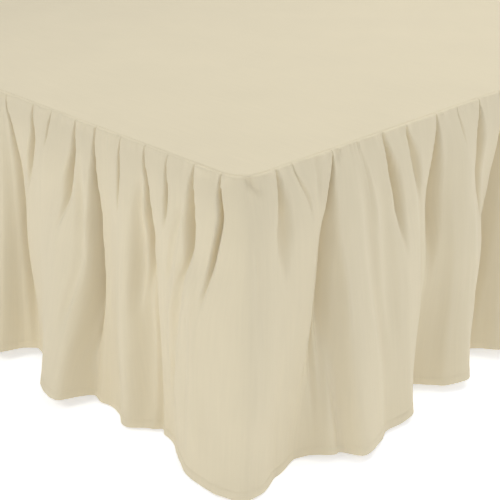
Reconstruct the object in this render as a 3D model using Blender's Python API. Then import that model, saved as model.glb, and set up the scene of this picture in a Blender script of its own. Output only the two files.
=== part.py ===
"""A gathered bed skirt on a plain double bed base, modelled in metres with +Z up.

A flat platform sheet lies on the base. A ruffle, cut as four widths of cloth, is gathered on to the
platform's edge down both long sides and round the foot, and hangs from there in folds to just above
the floor. X runs across the bed and Y along it, with the foot at -Y and the head at +Y.
"""

import math
import random

import bmesh
import bpy
import numpy as np

# The bed base
BED_WIDTH = 1.35
BED_LENGTH = 1.90
BED_MIDDLE_Y = 0.050  # the skirt hangs round the foot but not the head, so the bed stands off centre
BASE_TOP = 0.4072
BASE_UNDERSIDE = 0.055
FOOT_CORNER_RADIUS = 0.038
HEAD_CORNER_RADIUS = 0.014
BASE_EDGE_RADIUS = 0.012
GAP = 0.0003  # between pieces that touch

# The feet
FOOT_RADIUS = 0.028
FOOT_TAPER = 0.8  # share of the radius at the floor
FOOT_INSET = 0.095
FOOT_SIDES = 20

# The cloth
CLOTH = 0.0015
SEAM_OUT = 0.0045  # the cloth's outer face at the seam, outward of the base's side
EDGE_ROLL = 0.006  # radius in which the platform turns down to the seam
DROP = 0.401  # length of the ruffle from seam to hem
PUFF = 0.019  # how far the gathered cloth stands out just below the seam
PUFF_RISE = 0.13  # share of the drop over which it does so
SLIT_WIDTH = 0.22  # half width of a gather's slit at the seam, as a share of the cloth between two
SLIT_OPENS = 0.30  # share of the drop by which it has opened to half of that cloth
SOFTENING = 0.6  # how far a gather's slit turns into a soft hollow at the hem
SOFTENING_START = 0.20  # share of the drop at which it begins to
CLOSING_START = 0.45  # share of its reach at which a gather begins to close
LOBE_START = 0.02  # share of the drop at which the lobes of the hem begin to open
MOST_SLANT = 0.5  # the cloth always falls by at least this share of its own length
COLUMN = 0.0130  # spacing of the mesh along the ruffle
LEAST_COLUMNS = 4  # from one gather to the next
CROWDING = 0.8  # how far the columns crowd towards the valleys
ROWS = (0.0, 0.03, 0.09, 0.19, 0.35, 0.56, 0.78, 1.0)  # shares of the drop

PLATFORM_TOP = BASE_TOP + GAP + CLOTH
CORNER_STEPS = 8
ROLL_STEPS = 4
RIM_STEPS = 4
SMOOTH_BELOW = math.radians(35)

# Lengths round the base, from the head end of the left side to the head end of the right side
SIDE_RUN = BED_LENGTH - FOOT_CORNER_RADIUS
CORNER_RUN = FOOT_CORNER_RADIUS * math.pi / 2
FOOT_RUN = BED_WIDTH - 2 * FOOT_CORNER_RADIUS
WHOLE_RUN = 2 * SIDE_RUN + 2 * CORNER_RUN + FOOT_RUN
LEFT_CORNER = SIDE_RUN + CORNER_RUN / 2

# Gathers round the left foot corner. Places are metres from the corner, minus up the long side and plus
# along the foot, on the valley's line at the seam, a quarter, half and all of the way down. Depth is the
# valley's, and it has closed at reach, a share of the drop.
GATHERS = (
    # seam, quarter, half, hem, depth, reach
    (-0.575, -0.560, -0.545, -0.540, 0.010, 0.45),
    (-0.535, -0.528, -0.510, -0.500, 0.008, 0.30),
    (-0.496, -0.486, -0.458, -0.420, 0.015, 1.00),
    (-0.428, -0.432, -0.425, -0.395, 0.011, 0.32),
    (-0.381, -0.383, -0.383, -0.368, 0.005, 0.22),
    (-0.320, -0.334, -0.352, -0.335, 0.012, 0.50),
    (-0.271, -0.266, -0.254, -0.230, 0.019, 1.20),
    (-0.219, -0.214, -0.205, -0.196, 0.006, 0.40),
    (-0.169, -0.152, -0.135, -0.112, 0.017, 1.00),
    (-0.126, -0.119, -0.112, -0.090, 0.009, 0.30),
    (-0.074, -0.084, -0.090, -0.060, 0.017, 0.50),
    (-0.026, -0.033, -0.040, -0.028, 0.014, 0.45),
    (0.004, 0.010, 0.010, 0.005, 0.006, 0.10),
    (0.050, 0.053, 0.046, 0.025, 0.011, 0.38),
    (0.080, 0.090, 0.075, 0.040, 0.005, 0.20),
    (0.146, 0.124, 0.107, 0.070, 0.019, 1.20),
    (0.198, 0.206, 0.209, 0.190, 0.007, 1.00),
    (0.246, 0.277, 0.283, 0.245, 0.013, 0.55),
    (0.293, 0.313, 0.312, 0.275, 0.005, 0.20),
    (0.366, 0.354, 0.342, 0.300, 0.019, 1.20),
    (0.418, 0.412, 0.405, 0.372, 0.004, 0.18),
    (0.468, 0.464, 0.450, 0.410, 0.010, 0.42),
    (0.525, 0.512, 0.492, 0.446, 0.015, 1.00),
    (0.575, 0.565, 0.545, 0.505, 0.009, 0.40),
    (0.622, 0.614, 0.597, 0.562, 0.013, 1.00),
    (0.670, 0.665, 0.652, 0.628, 0.010, 0.40),
)

# The hem's line round the same corner: how far it stands out from the base's side
HEM = (
    # place, out
    (-0.560, 0.095),
    (-0.500, 0.106),
    (-0.455, 0.094),
    (-0.440, 0.056),
    (-0.420, 0.041),
    (-0.395, 0.047),
    (-0.365, 0.075),
    (-0.330, 0.100),
    (-0.300, 0.106),
    (-0.280, 0.097),
    (-0.258, 0.056),
    (-0.230, 0.045),
    (-0.205, 0.050),
    (-0.178, 0.064),
    (-0.150, 0.052),
    (-0.112, 0.034),
    (-0.060, 0.057),
    (-0.028, 0.068),
    (-0.010, 0.084),
    (0.000, 0.091),
    (0.010, 0.084),
    (0.025, 0.060),
    (0.056, 0.040),
    (0.070, 0.048),
    (0.087, 0.069),
    (0.102, 0.091),
    (0.130, 0.107),
    (0.168, 0.097),
    (0.192, 0.087),
    (0.239, 0.096),
    (0.266, 0.076),
    (0.297, 0.045),
    (0.325, 0.067),
    (0.340, 0.088),
    (0.372, 0.103),
    (0.405, 0.080),
    (0.440, 0.045),
    (0.463, 0.065),
    (0.478, 0.088),
    (0.510, 0.104),
    (0.562, 0.046),
    (0.615, 0.098),
)

# The other gathers follow these ranges. One gather in two or three runs down to the hem, and the hem
# bows out in a lobe between one such gather and the next.
SEED = 3499
PITCH = (0.036, 0.060)
LEAN = 0.018
QUARTER_LEAN = 0.3  # share of the lean a quarter of the way down
HALF_LEAN = 0.6
DEPTHS = (0.006, 0.014)
REACHES = (0.20, 0.50)
FULL_REACH = 1.1
GATHERS_PER_LOBE = (2, 3)
RECESS_OUT = (0.038, 0.050)
TIP_OUT = (0.086, 0.106)
TIP_PLACES = (0.40, 0.60)  # shares of the way from one recess of the hem to the next
LAST_PITCH = 0.6  # the row ends once less than this share of the least pitch is left

CREAM = (0.70, 0.62, 0.44, 1.0)
BASE_COLOUR = (0.62, 0.58, 0.50, 1.0)
FOOT_COLOUR = (0.05, 0.05, 0.055, 1.0)


def clear_scene():
    for old in list(bpy.data.objects):
        bpy.data.objects.remove(old)


def material(name, colour, roughness):
    made = bpy.data.materials.new(name)
    made.use_nodes = True
    shader = made.node_tree.nodes["Principled BSDF"]
    shader.inputs["Base Color"].default_value = colour
    shader.inputs["Roughness"].default_value = roughness
    return made


def add_object(name, bm, finish):
    bmesh.ops.recalc_face_normals(bm, faces=bm.faces)
    mesh = bpy.data.meshes.new(name)
    bm.to_mesh(mesh)
    bm.free()
    mesh.shade_smooth()
    mesh.set_sharp_from_angle(angle=SMOOTH_BELOW)
    mesh.materials.append(finish)
    made = bpy.data.objects.new(name, mesh)
    bpy.context.scene.collection.objects.link(made)
    return made


def smooth_step(low, high, value):
    share = np.clip((value - low) / (high - low), 0.0, 1.0)
    return share * share * (3.0 - 2.0 * share)


def smooth_curve(places, heights, at):
    """A curve through the given heights that never overshoots them."""
    places = np.asarray(places, float)
    heights = np.asarray(heights, float)
    steps = np.diff(heights) / np.diff(places)
    tangents = np.zeros(len(places))
    for i in range(1, len(places) - 1):
        if steps[i - 1] * steps[i] > 0:
            tangents[i] = 2.0 * steps[i - 1] * steps[i] / (steps[i - 1] + steps[i])
    span = np.clip(np.searchsorted(places, at, side="right") - 1, 0, len(places) - 2)
    width = places[span + 1] - places[span]
    share = np.clip((at - places[span]) / width, 0.0, 1.0)
    rise = share * share * (3.0 - 2.0 * share)
    leaving = share * (1.0 - share) ** 2 * width * tangents[span]
    arriving = share * share * (share - 1.0) * width * tangents[span + 1]
    return heights[span] + (heights[span + 1] - heights[span]) * rise + leaving + arriving


def run_from_corner(place):
    """Length along the base's side of a place given from the left foot corner."""
    beyond = abs(place) - FOOT_CORNER_RADIUS
    half = CORNER_RUN / 2
    length = half + beyond if beyond > 0 else half * abs(place) / FOOT_CORNER_RADIUS
    return LEFT_CORNER + math.copysign(length, place)


def all_folds():
    """Every gather and hem point in order round the bed, with places as lengths along its side."""
    gathers = [tuple(map(run_from_corner, row[:4])) + row[4:] for row in GATHERS]
    hem = [(run_from_corner(place), out) for place, out in HEM]
    draw = random.Random(SEED)
    before, before_hem = other_folds(draw, gathers[0][0], hem[0][0])
    after, after_hem = other_folds(draw, WHOLE_RUN - gathers[-1][0], WHOLE_RUN - hem[-1][0])
    after = [tuple(WHOLE_RUN - place for place in row[:4]) + row[4:] for row in reversed(after)]
    after_hem = [(WHOLE_RUN - place, out) for place, out in reversed(after_hem)]
    return before + gathers + after, before_hem + hem + after_hem


def other_folds(draw, end, hem_end):
    """Gathers and hem points from the free edge of the ruffle as far as the places given."""
    gathers = []
    hem = []
    place = 0.0
    until_recess = 1
    last_recess = None
    while place < end - PITCH[0] * LAST_PITCH:
        lean = draw.uniform(-LEAN, LEAN)
        hem_place = max(place + lean, 0.0) if gathers else 0.0
        until_recess -= 1
        if until_recess == 0 and hem_place < hem_end - PITCH[1]:
            reach = FULL_REACH
            until_recess = draw.choice(GATHERS_PER_LOBE)
            if last_recess is not None:
                tip = last_recess + (hem_place - last_recess) * draw.uniform(*TIP_PLACES)
                hem.append((tip, draw.uniform(*TIP_OUT)))
            hem.append((hem_place, draw.uniform(*RECESS_OUT)))
            last_recess = hem_place
        else:
            reach = draw.uniform(*REACHES)
        quarter = place + QUARTER_LEAN * (hem_place - place)
        half = place + HALF_LEAN * (hem_place - place)
        gathers.append((place, quarter, half, hem_place, draw.uniform(*DEPTHS), reach))
        place += draw.uniform(*PITCH)
    return gathers, hem


def base_side(run):
    """Points on the base's side and its outward directions, at lengths along it."""
    half_width = BED_WIDTH / 2
    foot_y = BED_MIDDLE_Y - BED_LENGTH / 2
    ends = np.cumsum((SIDE_RUN, CORNER_RUN, FOOT_RUN, CORNER_RUN))
    first_turn = np.clip((run - ends[0]) / CORNER_RUN, 0.0, 1.0)
    second_turn = np.clip((run - ends[2]) / CORNER_RUN, 0.0, 1.0)
    heading = math.pi + (first_turn + second_turn) * math.pi / 2
    out_x = np.cos(heading)
    out_y = np.sin(heading)
    along_foot = np.clip(run - ends[1], 0.0, FOOT_RUN)
    centre_x = -half_width + FOOT_CORNER_RADIUS + along_foot
    down_left = np.minimum(run, SIDE_RUN)
    up_right = np.maximum(run - ends[3], 0.0)
    centre_y = foot_y + BED_LENGTH - down_left + up_right
    x = centre_x + FOOT_CORNER_RADIUS * out_x
    y = centre_y + FOOT_CORNER_RADIUS * out_y
    return x, y, out_x, out_y


def ruffle_surface(folds, shares):
    """Lengths along the base and distances out from it, for columns at folds and rows at shares."""
    gathers, hem = all_folds()
    table = np.array(gathers)
    index = np.clip(np.floor(folds).astype(int), 0, len(table) - 2)
    between = folds - index
    left = table[index]
    right = table[index + 1]
    hem_run = left[:, 3] + (right[:, 3] - left[:, 3]) * between
    hem_table = np.array(hem)
    lobes = smooth_curve(hem_table[:, 0], hem_table[:, 1], hem_run)
    runs = []
    outs = []
    for share in shares:
        marks = (0.0, 0.25, 0.5, 1.0)
        line = np.array([smooth_curve(marks, row[:4], share) for row in table])
        run = line[index] + (line[index + 1] - line[index]) * between
        opened = max(share - LOBE_START, 0.0) / (1.0 - LOBE_START)
        puffed = float(smooth_step(0.0, PUFF_RISE, share))
        out = SEAM_OUT + PUFF * puffed * (1.0 - opened) + (lobes - SEAM_OUT) * opened
        valley = valley_depth(left, share) * valley_shape(between, share)
        valley += valley_depth(right, share) * valley_shape(1.0 - between, share)
        runs.append(run)
        outs.append(np.maximum(out - valley, SEAM_OUT))
    return np.array(runs), np.array(outs)


def valley_depth(row, share):
    opening = smooth_step(0.0, PUFF_RISE, share)
    closing = 1.0 - smooth_step(row[:, 5] * CLOSING_START, row[:, 5], share)
    return row[:, 4] * opening * closing


def valley_shape(across, share):
    """One at the valley's line and nought at the next: a narrow slit at the seam, wider below."""
    width = SLIT_WIDTH + (0.5 - SLIT_WIDTH) * smooth_step(0.0, SLIT_OPENS, share)
    near = np.clip(1.0 - across / width, 0.0, 1.0)
    slit = 1.0 - np.sqrt(1.0 - near * near)
    hollow = np.cos(across * math.pi / 2) ** 2
    return slit + (hollow - slit) * SOFTENING * smooth_step(SOFTENING_START, 1.0, share)


def hanging_heights(runs, outs, shares, top):
    """Heights of the rows, so that the cloth keeps its length however it slants."""
    heights = [np.full(runs.shape[1], top)]
    for i in range(1, len(shares)):
        length = (shares[i] - shares[i - 1]) * DROP
        slant = (outs[i] - outs[i - 1]) ** 2 + (runs[i] - runs[i - 1]) ** 2
        fall = np.sqrt(np.maximum(length * length - slant, (MOST_SLANT * length) ** 2))
        heights.append(heights[-1] - fall)
    return np.array(heights)


def fold_columns(gathers, first, last):
    """Columns of the mesh from one gather to another, as gather numbers with the shares between."""
    columns = []
    for i in range(first, last):
        width = max(gathers[i + 1][0] - gathers[i][0], gathers[i + 1][3] - gathers[i][3])
        count = max(LEAST_COLUMNS, round(width / COLUMN))
        for j in range(count):
            even = j / count
            crowded = (1.0 - math.cos(math.pi * even)) / 2.0
            columns.append(i + even + (crowded - even) * CROWDING)
    columns.append(float(last))
    return np.array(columns)


def strip_joins():
    """The gathers at which the four widths of cloth meet, each at a fold that runs down to the hem."""
    gathers, _ = all_folds()
    deep = [i for i, row in enumerate(gathers) if row[5] >= 1.0]
    quarters = [WHOLE_RUN * share for share in (0.25, 0.5, 0.75)]
    nearest = [min(deep, key=lambda i: abs(gathers[i][0] - quarter)) for quarter in quarters]
    return [0] + nearest + [len(gathers) - 1]


def ruffle_strip(name, first, last, finish):
    gathers, _ = all_folds()
    columns = fold_columns(gathers, first, last)
    runs, outs = ruffle_surface(columns, ROWS)
    runs[:, 0] += GAP / 2
    runs[:, -1] -= GAP / 2
    heights = hanging_heights(runs, outs, ROWS, PLATFORM_TOP - EDGE_ROLL - GAP)
    x, y, out_x, out_y = base_side(runs)
    bm = bmesh.new()
    across = len(columns) - 1
    down = len(ROWS) - 1
    bmesh.ops.create_grid(bm, x_segments=across, y_segments=down, size=1.0)
    for vert in bm.verts:
        i = round((vert.co.x + 1.0) / 2.0 * across)
        j = round((1.0 - vert.co.y) / 2.0 * down)
        out = outs[j, i]
        vert.co = (x[j, i] + out * out_x[j, i], y[j, i] + out * out_y[j, i], heights[j, i])
    strip = add_object(name, bm, finish)
    thicken(strip, CLOTH)
    return strip


def platform_sheet(finish):
    """The flat panel, turned down round three sides to the seam and cut straight at the head."""
    runs = np.concatenate((
        np.linspace(0.0, SIDE_RUN, 3)[:-1],
        SIDE_RUN + np.linspace(0.0, CORNER_RUN, CORNER_STEPS + 1),
        SIDE_RUN + CORNER_RUN + np.linspace(0.0, FOOT_RUN, 3)[1:-1],
        SIDE_RUN + CORNER_RUN + FOOT_RUN + np.linspace(0.0, CORNER_RUN, CORNER_STEPS + 1),
        WHOLE_RUN - SIDE_RUN + np.linspace(0.0, SIDE_RUN, 3)[1:],
    ))
    x, y, out_x, out_y = base_side(runs)
    bm = bmesh.new()
    rings = []
    for step in range(ROLL_STEPS + 1):
        turn = math.pi / 2 * step / ROLL_STEPS
        out = SEAM_OUT - EDGE_ROLL * (1.0 - math.sin(turn))
        height = PLATFORM_TOP - EDGE_ROLL * (1.0 - math.cos(turn))
        places = zip(x + out * out_x, y + out * out_y)
        rings.append([bm.verts.new((px, py, height)) for px, py in places])
    bm.faces.new(rings[0])
    for inner, outer in zip(rings, rings[1:]):
        for i in range(len(runs) - 1):
            bm.faces.new((inner[i], outer[i], outer[i + 1], inner[i + 1]))
    sheet = add_object("platform_sheet", bm, finish)
    thicken(sheet, CLOTH)
    return sheet


def bed_base(finish):
    """A plain box with rounded upright corners and a softer edge round its top."""
    bm = bmesh.new()
    bmesh.ops.create_cube(bm, size=1.0)
    for vert in bm.verts:
        vert.co.x *= BED_WIDTH
        vert.co.y = vert.co.y * BED_LENGTH + BED_MIDDLE_Y
        vert.co.z = BASE_TOP if vert.co.z > 0 else BASE_UNDERSIDE
    for at_foot, radius in ((True, FOOT_CORNER_RADIUS), (False, HEAD_CORNER_RADIUS)):
        upright = [edge for edge in bm.edges if stands_at(edge, at_foot)]
        bevel(bm, upright, radius, CORNER_STEPS)
    rim = [edge for edge in bm.edges if all(abs(vert.co.z - BASE_TOP) < GAP for vert in edge.verts)]
    bevel(bm, rim, BASE_EDGE_RADIUS, RIM_STEPS)
    return add_object("bed_base", bm, finish)


def stands_at(edge, at_foot):
    a, b = (vert.co for vert in edge.verts)
    return abs(a.z - b.z) > BASE_UNDERSIDE and (a.y < BED_MIDDLE_Y) == at_foot


def bevel(bm, edges, radius, steps):
    bmesh.ops.bevel(
        bm, geom=edges, offset=radius, offset_type="OFFSET", segments=steps, profile=0.5, affect="EDGES"
    )


def foot(name, x, y, finish):
    """A short round foot, narrower at the floor."""
    height = BASE_UNDERSIDE - GAP
    bm = bmesh.new()
    bmesh.ops.create_cone(
        bm,
        cap_ends=True,
        segments=FOOT_SIDES,
        radius1=FOOT_RADIUS * FOOT_TAPER,
        radius2=FOOT_RADIUS,
        depth=height,
    )
    bmesh.ops.translate(bm, verts=bm.verts, vec=(0.0, 0.0, height / 2))
    made = add_object(name, bm, finish)
    made.location = (x, y, 0.0)
    return made


def thicken(sheet, thickness):
    made = sheet.modifiers.new("Thickness", "SOLIDIFY")
    made.thickness = thickness
    made.offset = -1.0


def main():
    clear_scene()
    cotton = material("cream cotton", CREAM, 0.9)
    joins = strip_joins()
    names = ("ruffle_side_left", "ruffle_corner_left", "ruffle_corner_right", "ruffle_side_right")
    for name, first, last in zip(names, joins, joins[1:]):
        ruffle_strip(name, first, last, cotton)
    platform_sheet(cotton)
    bed_base(material("base ticking", BASE_COLOUR, 0.85))
    black = material("black plastic", FOOT_COLOUR, 0.5)
    number = 0
    for y in (-1, 0, 1):
        for side in (-1, 1):
            number += 1
            x = side * (BED_WIDTH / 2 - FOOT_INSET)
            foot(f"foot_{number}", x, BED_MIDDLE_Y + y * (BED_LENGTH / 2 - FOOT_INSET), black)


main()
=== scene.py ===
"""The finished look of a gathered bed skirt on a plain double bed base, in metres with +Z up."""

import math
import random

import bmesh
import bpy
import numpy as np
from mathutils import Matrix, Vector


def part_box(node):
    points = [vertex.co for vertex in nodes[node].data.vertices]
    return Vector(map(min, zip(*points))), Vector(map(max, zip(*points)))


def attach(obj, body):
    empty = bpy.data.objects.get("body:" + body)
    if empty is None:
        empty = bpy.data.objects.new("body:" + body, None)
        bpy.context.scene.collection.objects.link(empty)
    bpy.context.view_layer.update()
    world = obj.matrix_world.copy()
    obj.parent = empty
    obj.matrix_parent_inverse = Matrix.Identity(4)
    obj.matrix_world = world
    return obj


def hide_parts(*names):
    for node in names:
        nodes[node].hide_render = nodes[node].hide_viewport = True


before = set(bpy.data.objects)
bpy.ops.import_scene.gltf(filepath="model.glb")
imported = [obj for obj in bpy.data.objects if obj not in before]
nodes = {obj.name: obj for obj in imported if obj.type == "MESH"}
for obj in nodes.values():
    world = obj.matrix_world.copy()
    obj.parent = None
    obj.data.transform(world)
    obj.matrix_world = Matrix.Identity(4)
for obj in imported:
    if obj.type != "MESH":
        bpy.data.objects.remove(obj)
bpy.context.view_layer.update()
scene = bpy.context.scene

# ---------------------------------------------------------------------------------------------------
# Bed base: a flat-topped box of boards, covered in woven upholstery cloth that is pulled tight and
# stapled underneath. Its solid is right as it is, and only gets the cloth's finish.

TICKING = (0.60, 0.555, 0.46)
TICKING_SHADES = ((0.35, 0.90), (1.0, 1.06))  # values of the pattern, and how bright the colour is there
TICKING_THREAD = 0.0011
TICKING_ROUGHNESS = 0.88
TICKING_SHEEN = 0.15
TICKING_BUMP = (0.5, 0.0003)  # strength, and height of the relief
BLOTCHES = 5.0  # scale of the cover's cloudy tone
BLOTCH_SHARE = 0.5
SLUBS_ACROSS = 0.13  # changes of shade for each thread crossed
SLUBS_ALONG = 0.006  # and for each thread's width along the cloth
SLUB_DETAIL = 3.0

base_low, base_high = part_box("bed_base")
BED_WIDTH = base_high[0] - base_low[0]
BED_LENGTH = base_high[1] - base_low[1]
BED_MIDDLE_Y = (base_low[1] + base_high[1]) / 2
BASE_TOP = base_high[2]


def new_group(name, inputs, outputs):
    """An empty shader node group, with inputs as (name, type, default) and outputs as (name, type)."""
    group = bpy.data.node_groups.new(name, "ShaderNodeTree")
    for label, kind, value in inputs:
        socket = group.interface.new_socket(label, in_out="INPUT", socket_type=kind)
        socket.default_value = value
    for label, kind in outputs:
        group.interface.new_socket(label, in_out="OUTPUT", socket_type=kind)
    return group, group.nodes.new("NodeGroupInput"), group.nodes.new("NodeGroupOutput")


def math_node(tree, operation, *values):
    """One step of arithmetic on values that are numbers or the outputs of other nodes."""
    node = tree.nodes.new("ShaderNodeMath")
    node.operation = operation
    for socket, value in zip(node.inputs, values):
        if isinstance(value, (int, float)):
            socket.default_value = value
        else:
            tree.links.new(value, socket)
    return node.outputs[0]


def noise_node(tree, vector, scale, detail=2.0):
    node = tree.nodes.new("ShaderNodeTexNoise")
    node.inputs["Scale"].default_value = scale
    node.inputs["Detail"].default_value = detail
    tree.links.new(vector, node.inputs["Vector"])
    return node.outputs["Fac"]


def thread_tops(tree, place):
    """The rounded tops of threads that lie side by side, one to each whole step of place."""
    turned = math_node(tree, "MULTIPLY", place, math.pi)
    return math_node(tree, "ABSOLUTE", math_node(tree, "SINE", turned))


def plain_weave_group():
    """Threads over and under each other: their height, and how far each thread's shade strays."""
    inputs = (("Cloth", "NodeSocketVector", (0.0, 0.0, 0.0)), ("Thread", "NodeSocketFloat", TICKING_THREAD))
    outputs = (("Height", "NodeSocketFloat"), ("Shade", "NodeSocketFloat"))
    group, given, made = new_group("plain weave", inputs, outputs)
    link = group.links.new
    parts = group.nodes.new("ShaderNodeSeparateXYZ")
    link(given.outputs["Cloth"], parts.inputs[0])
    across = math_node(group, "DIVIDE", parts.outputs["X"], given.outputs["Thread"])
    along = math_node(group, "DIVIDE", parts.outputs["Y"], given.outputs["Thread"])
    cells = math_node(group, "ADD", math_node(group, "FLOOR", across), math_node(group, "FLOOR", along))
    odd = math_node(group, "PINGPONG", cells, 1.0)
    even = math_node(group, "SUBTRACT", 1.0, odd)
    over = math_node(group, "MULTIPLY", thread_tops(group, across), odd)
    under = math_node(group, "MULTIPLY", thread_tops(group, along), even)
    link(math_node(group, "ADD", over, under), made.inputs["Height"])
    stretch = group.nodes.new("ShaderNodeCombineXYZ")
    link(math_node(group, "MULTIPLY", across, SLUBS_ACROSS), stretch.inputs["X"])
    link(math_node(group, "MULTIPLY", along, SLUBS_ALONG), stretch.inputs["Y"])
    link(noise_node(group, stretch.outputs[0], 1.0, SLUB_DETAIL), made.inputs["Shade"])
    return group


plain_weave = plain_weave_group()


def weave_node(tree, cloth, thread):
    node = tree.nodes.new("ShaderNodeGroup")
    node.node_tree = plain_weave
    node.inputs["Thread"].default_value = thread
    tree.links.new(cloth, node.inputs["Cloth"])
    return node


def blend_node(tree, base, pattern, share):
    """A value with a share of a pattern added to it."""
    return math_node(tree, "ADD", base, math_node(tree, "MULTIPLY", pattern, share))


def shade_node(tree, pattern, colour, shades):
    """A colour that turns lighter with a pattern, between two shades as (pattern's value, brightness)."""
    node = tree.nodes.new("ShaderNodeValToRGB")
    for element, (position, brightness) in zip(node.color_ramp.elements, shades):
        element.position = position
        element.color = (*(min(channel * brightness, 1.0) for channel in colour), 1.0)
    tree.links.new(pattern, node.inputs["Fac"])
    return node.outputs["Color"]


def bump_node(tree, height, strength, distance, normal=None):
    node = tree.nodes.new("ShaderNodeBump")
    node.inputs["Strength"].default_value = strength
    node.inputs["Distance"].default_value = distance
    tree.links.new(height, node.inputs["Height"])
    if normal is not None:
        tree.links.new(normal, node.inputs["Normal"])
    return node.outputs["Normal"]


def new_material(name, roughness):
    made = bpy.data.materials.new(name)
    made.use_nodes = True
    shader = made.node_tree.nodes["Principled BSDF"]
    shader.inputs["Roughness"].default_value = roughness
    return made, made.node_tree, shader


def ticking_material():
    """Woven upholstery cloth, matte, with uneven threads and a cloudy tone."""
    made, tree, shader = new_material("woven ticking", TICKING_ROUGHNESS)
    place = tree.nodes.new("ShaderNodeTexCoord").outputs["Object"]
    weave = weave_node(tree, place, TICKING_THREAD)
    tone = blend_node(tree, weave.outputs["Shade"], noise_node(tree, place, BLOTCHES), BLOTCH_SHARE)
    tree.links.new(shade_node(tree, tone, TICKING, TICKING_SHADES), shader.inputs["Base Color"])
    tree.links.new(bump_node(tree, weave.outputs["Height"], *TICKING_BUMP), shader.inputs["Normal"])
    shader.inputs["Sheen Weight"].default_value = TICKING_SHEEN
    return made


def dress(node, finish):
    """Gives a solid its finish."""
    node.data.materials.clear()
    node.data.materials.append(finish)


dress(nodes["bed_base"], ticking_material())

# ---------------------------------------------------------------------------------------------------
# Feet: six short tapered feet of black plastic, moulded in one piece and screwed up into the base.
# Their solids are right as they are, and get the fine grain and scuffs of moulded plastic.

FOOT_BLACK = (0.035, 0.035, 0.038)
FOOT_SHADES = ((0.35, 1.0), (0.75, 1.9))
FOOT_ROUGHNESS = 0.28
SCUFFS = 60.0  # scale of the scuffs
SCUFF_DETAIL = 4.0
SCUFF_ROUGHNESS = 0.3  # how much rougher the plastic is where it is scuffed
GRAIN = 900.0  # scale of the moulded grain
GRAIN_BUMP = (0.25, 0.0004)


def foot_material():
    """Black plastic, lighter and rougher where it is scuffed."""
    made, tree, shader = new_material("moulded black plastic", FOOT_ROUGHNESS)
    place = tree.nodes.new("ShaderNodeTexCoord").outputs["Object"]
    scuffs = noise_node(tree, place, SCUFFS, SCUFF_DETAIL)
    tree.links.new(shade_node(tree, scuffs, FOOT_BLACK, FOOT_SHADES), shader.inputs["Base Color"])
    tree.links.new(blend_node(tree, FOOT_ROUGHNESS, scuffs, SCUFF_ROUGHNESS), shader.inputs["Roughness"])
    tree.links.new(bump_node(tree, noise_node(tree, place, GRAIN), *GRAIN_BUMP), shader.inputs["Normal"])
    return made


foot_finish = foot_material()
for name, node in nodes.items():
    if name.startswith("foot_"):
        dress(node, foot_finish)

# ---------------------------------------------------------------------------------------------------
# Platform sheet: one flat panel of cream poly-cotton that lies on the base. Its edge is sewn to the
# gathers all round but at the head, where it is hemmed, and the seam allowance turns down inside.

CREAM = (0.735, 0.645, 0.455)
CREAM_SHADES = ((0.30, 0.975), (0.70, 1.02))
CREAM_THREAD = 0.00045
CREAM_ROUGHNESS = 0.84
CREAM_SHEEN = 0.12
CREAM_SHEEN_ROUGHNESS = 0.6
CREAM_SHINE = 0.25
WEAVE_BUMP = (0.35, 0.00012)
CLOUDS = 7.0  # scale of the cloth's cloudy tone
CLOUD_DETAIL = 3.0
CLOUD_SHARE = 0.5
CLOUD_ROUGHNESS = 0.12  # how much rougher the cloth is where its tone is light
CREASING = 38.0  # scale of its faint creasing
CREASING_DETAIL = 4.0
CREASING_BUMP = (0.18, 0.0012)

SHEET_THICKNESS = 0.0007
PANEL_STANDS = 0.0018  # height of the panel's face above the base
PANEL_SINKS = 0.0002  # its waves rise and fall about a level this far below that
FOOT_CORNER_RADIUS = 0.038  # of the base's two corners at the foot
SEAM_OUT = 0.0045  # distance of the seam from the base's side
EDGE_ROLL = 0.0036  # radius in which the panel turns down to the seam
ALLOWANCE_INSIDE = 0.0009  # the turned edge lies this far inside the gathers
CORNER_STANDS = 0.004  # the sewn corner is tighter than the base's, and stands this far clear of it
PANEL_STEP = 0.011  # spacing of the mesh in the panel's middle
EDGE_STEP = 0.0016  # and along its edges
SEWN_EDGE = 0.012  # width of the edge that the stitching draws up a little
HEAD_HEM = 0.015
HEAD_STITCHES = 8  # rows of the mesh from the head edge to the stitching of its hem
HEM_RISE = 0.0004  # how far the turned-in cloth of a hem stands above the single cloth
DRIFT_SIZE = (64, 1024)  # rows and columns of random values, after which they repeat

# How unevenly the panel lies
PANEL_WAVES = (
    # height, width, length, offset, seed
    (0.0004, 0.23, 0.21, 9.0, 5),
    (0.00022, 0.07, 0.08, 30.0, 6),
)

# The ripples where the stitching draws up its edge, across and along them
RIPPLE_HEIGHT = 0.0004
RIPPLE_SIZES = (0.017, 0.05)
RIPPLE_OFFSETS = (200.0, 70.0)
RIPPLE_SEED = 7

PLATFORM_TOP = BASE_TOP + PANEL_STANDS


def smooth_step(low, high, value):
    """How far a value is on its way from low to high, from 0 to 1 and eased at both ends."""
    share = np.clip((value - low) / (high - low), 0.0, 1.0)
    return share * share * (3.0 - 2.0 * share)


def drift(across, down, seed):
    """Smooth random values from -1 to 1, one for each unit square, and the same for a given seed."""
    values = np.random.default_rng(seed).uniform(-1.0, 1.0, DRIFT_SIZE)
    left = np.floor(across).astype(int)
    top = np.floor(down).astype(int)
    over = smooth_step(0.0, 1.0, across - left)
    under = smooth_step(0.0, 1.0, down - top)

    def at(column, row):
        return values[row % DRIFT_SIZE[0], column % DRIFT_SIZE[1]]

    upper = at(left, top) * (1.0 - over) + at(left + 1, top) * over
    lower = at(left, top + 1) * (1.0 - over) + at(left + 1, top + 1) * over
    return upper * (1.0 - under) + lower * under


def waves(across, down, rows):
    """Uneven waves in cloth, from rows of their height, width, length, offset in waves, and seed."""
    total = 0.0
    for height, width, length, offset, seed in rows:
        total = total + height * drift(across / width + offset, down / length + offset, seed)
    return total


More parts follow.
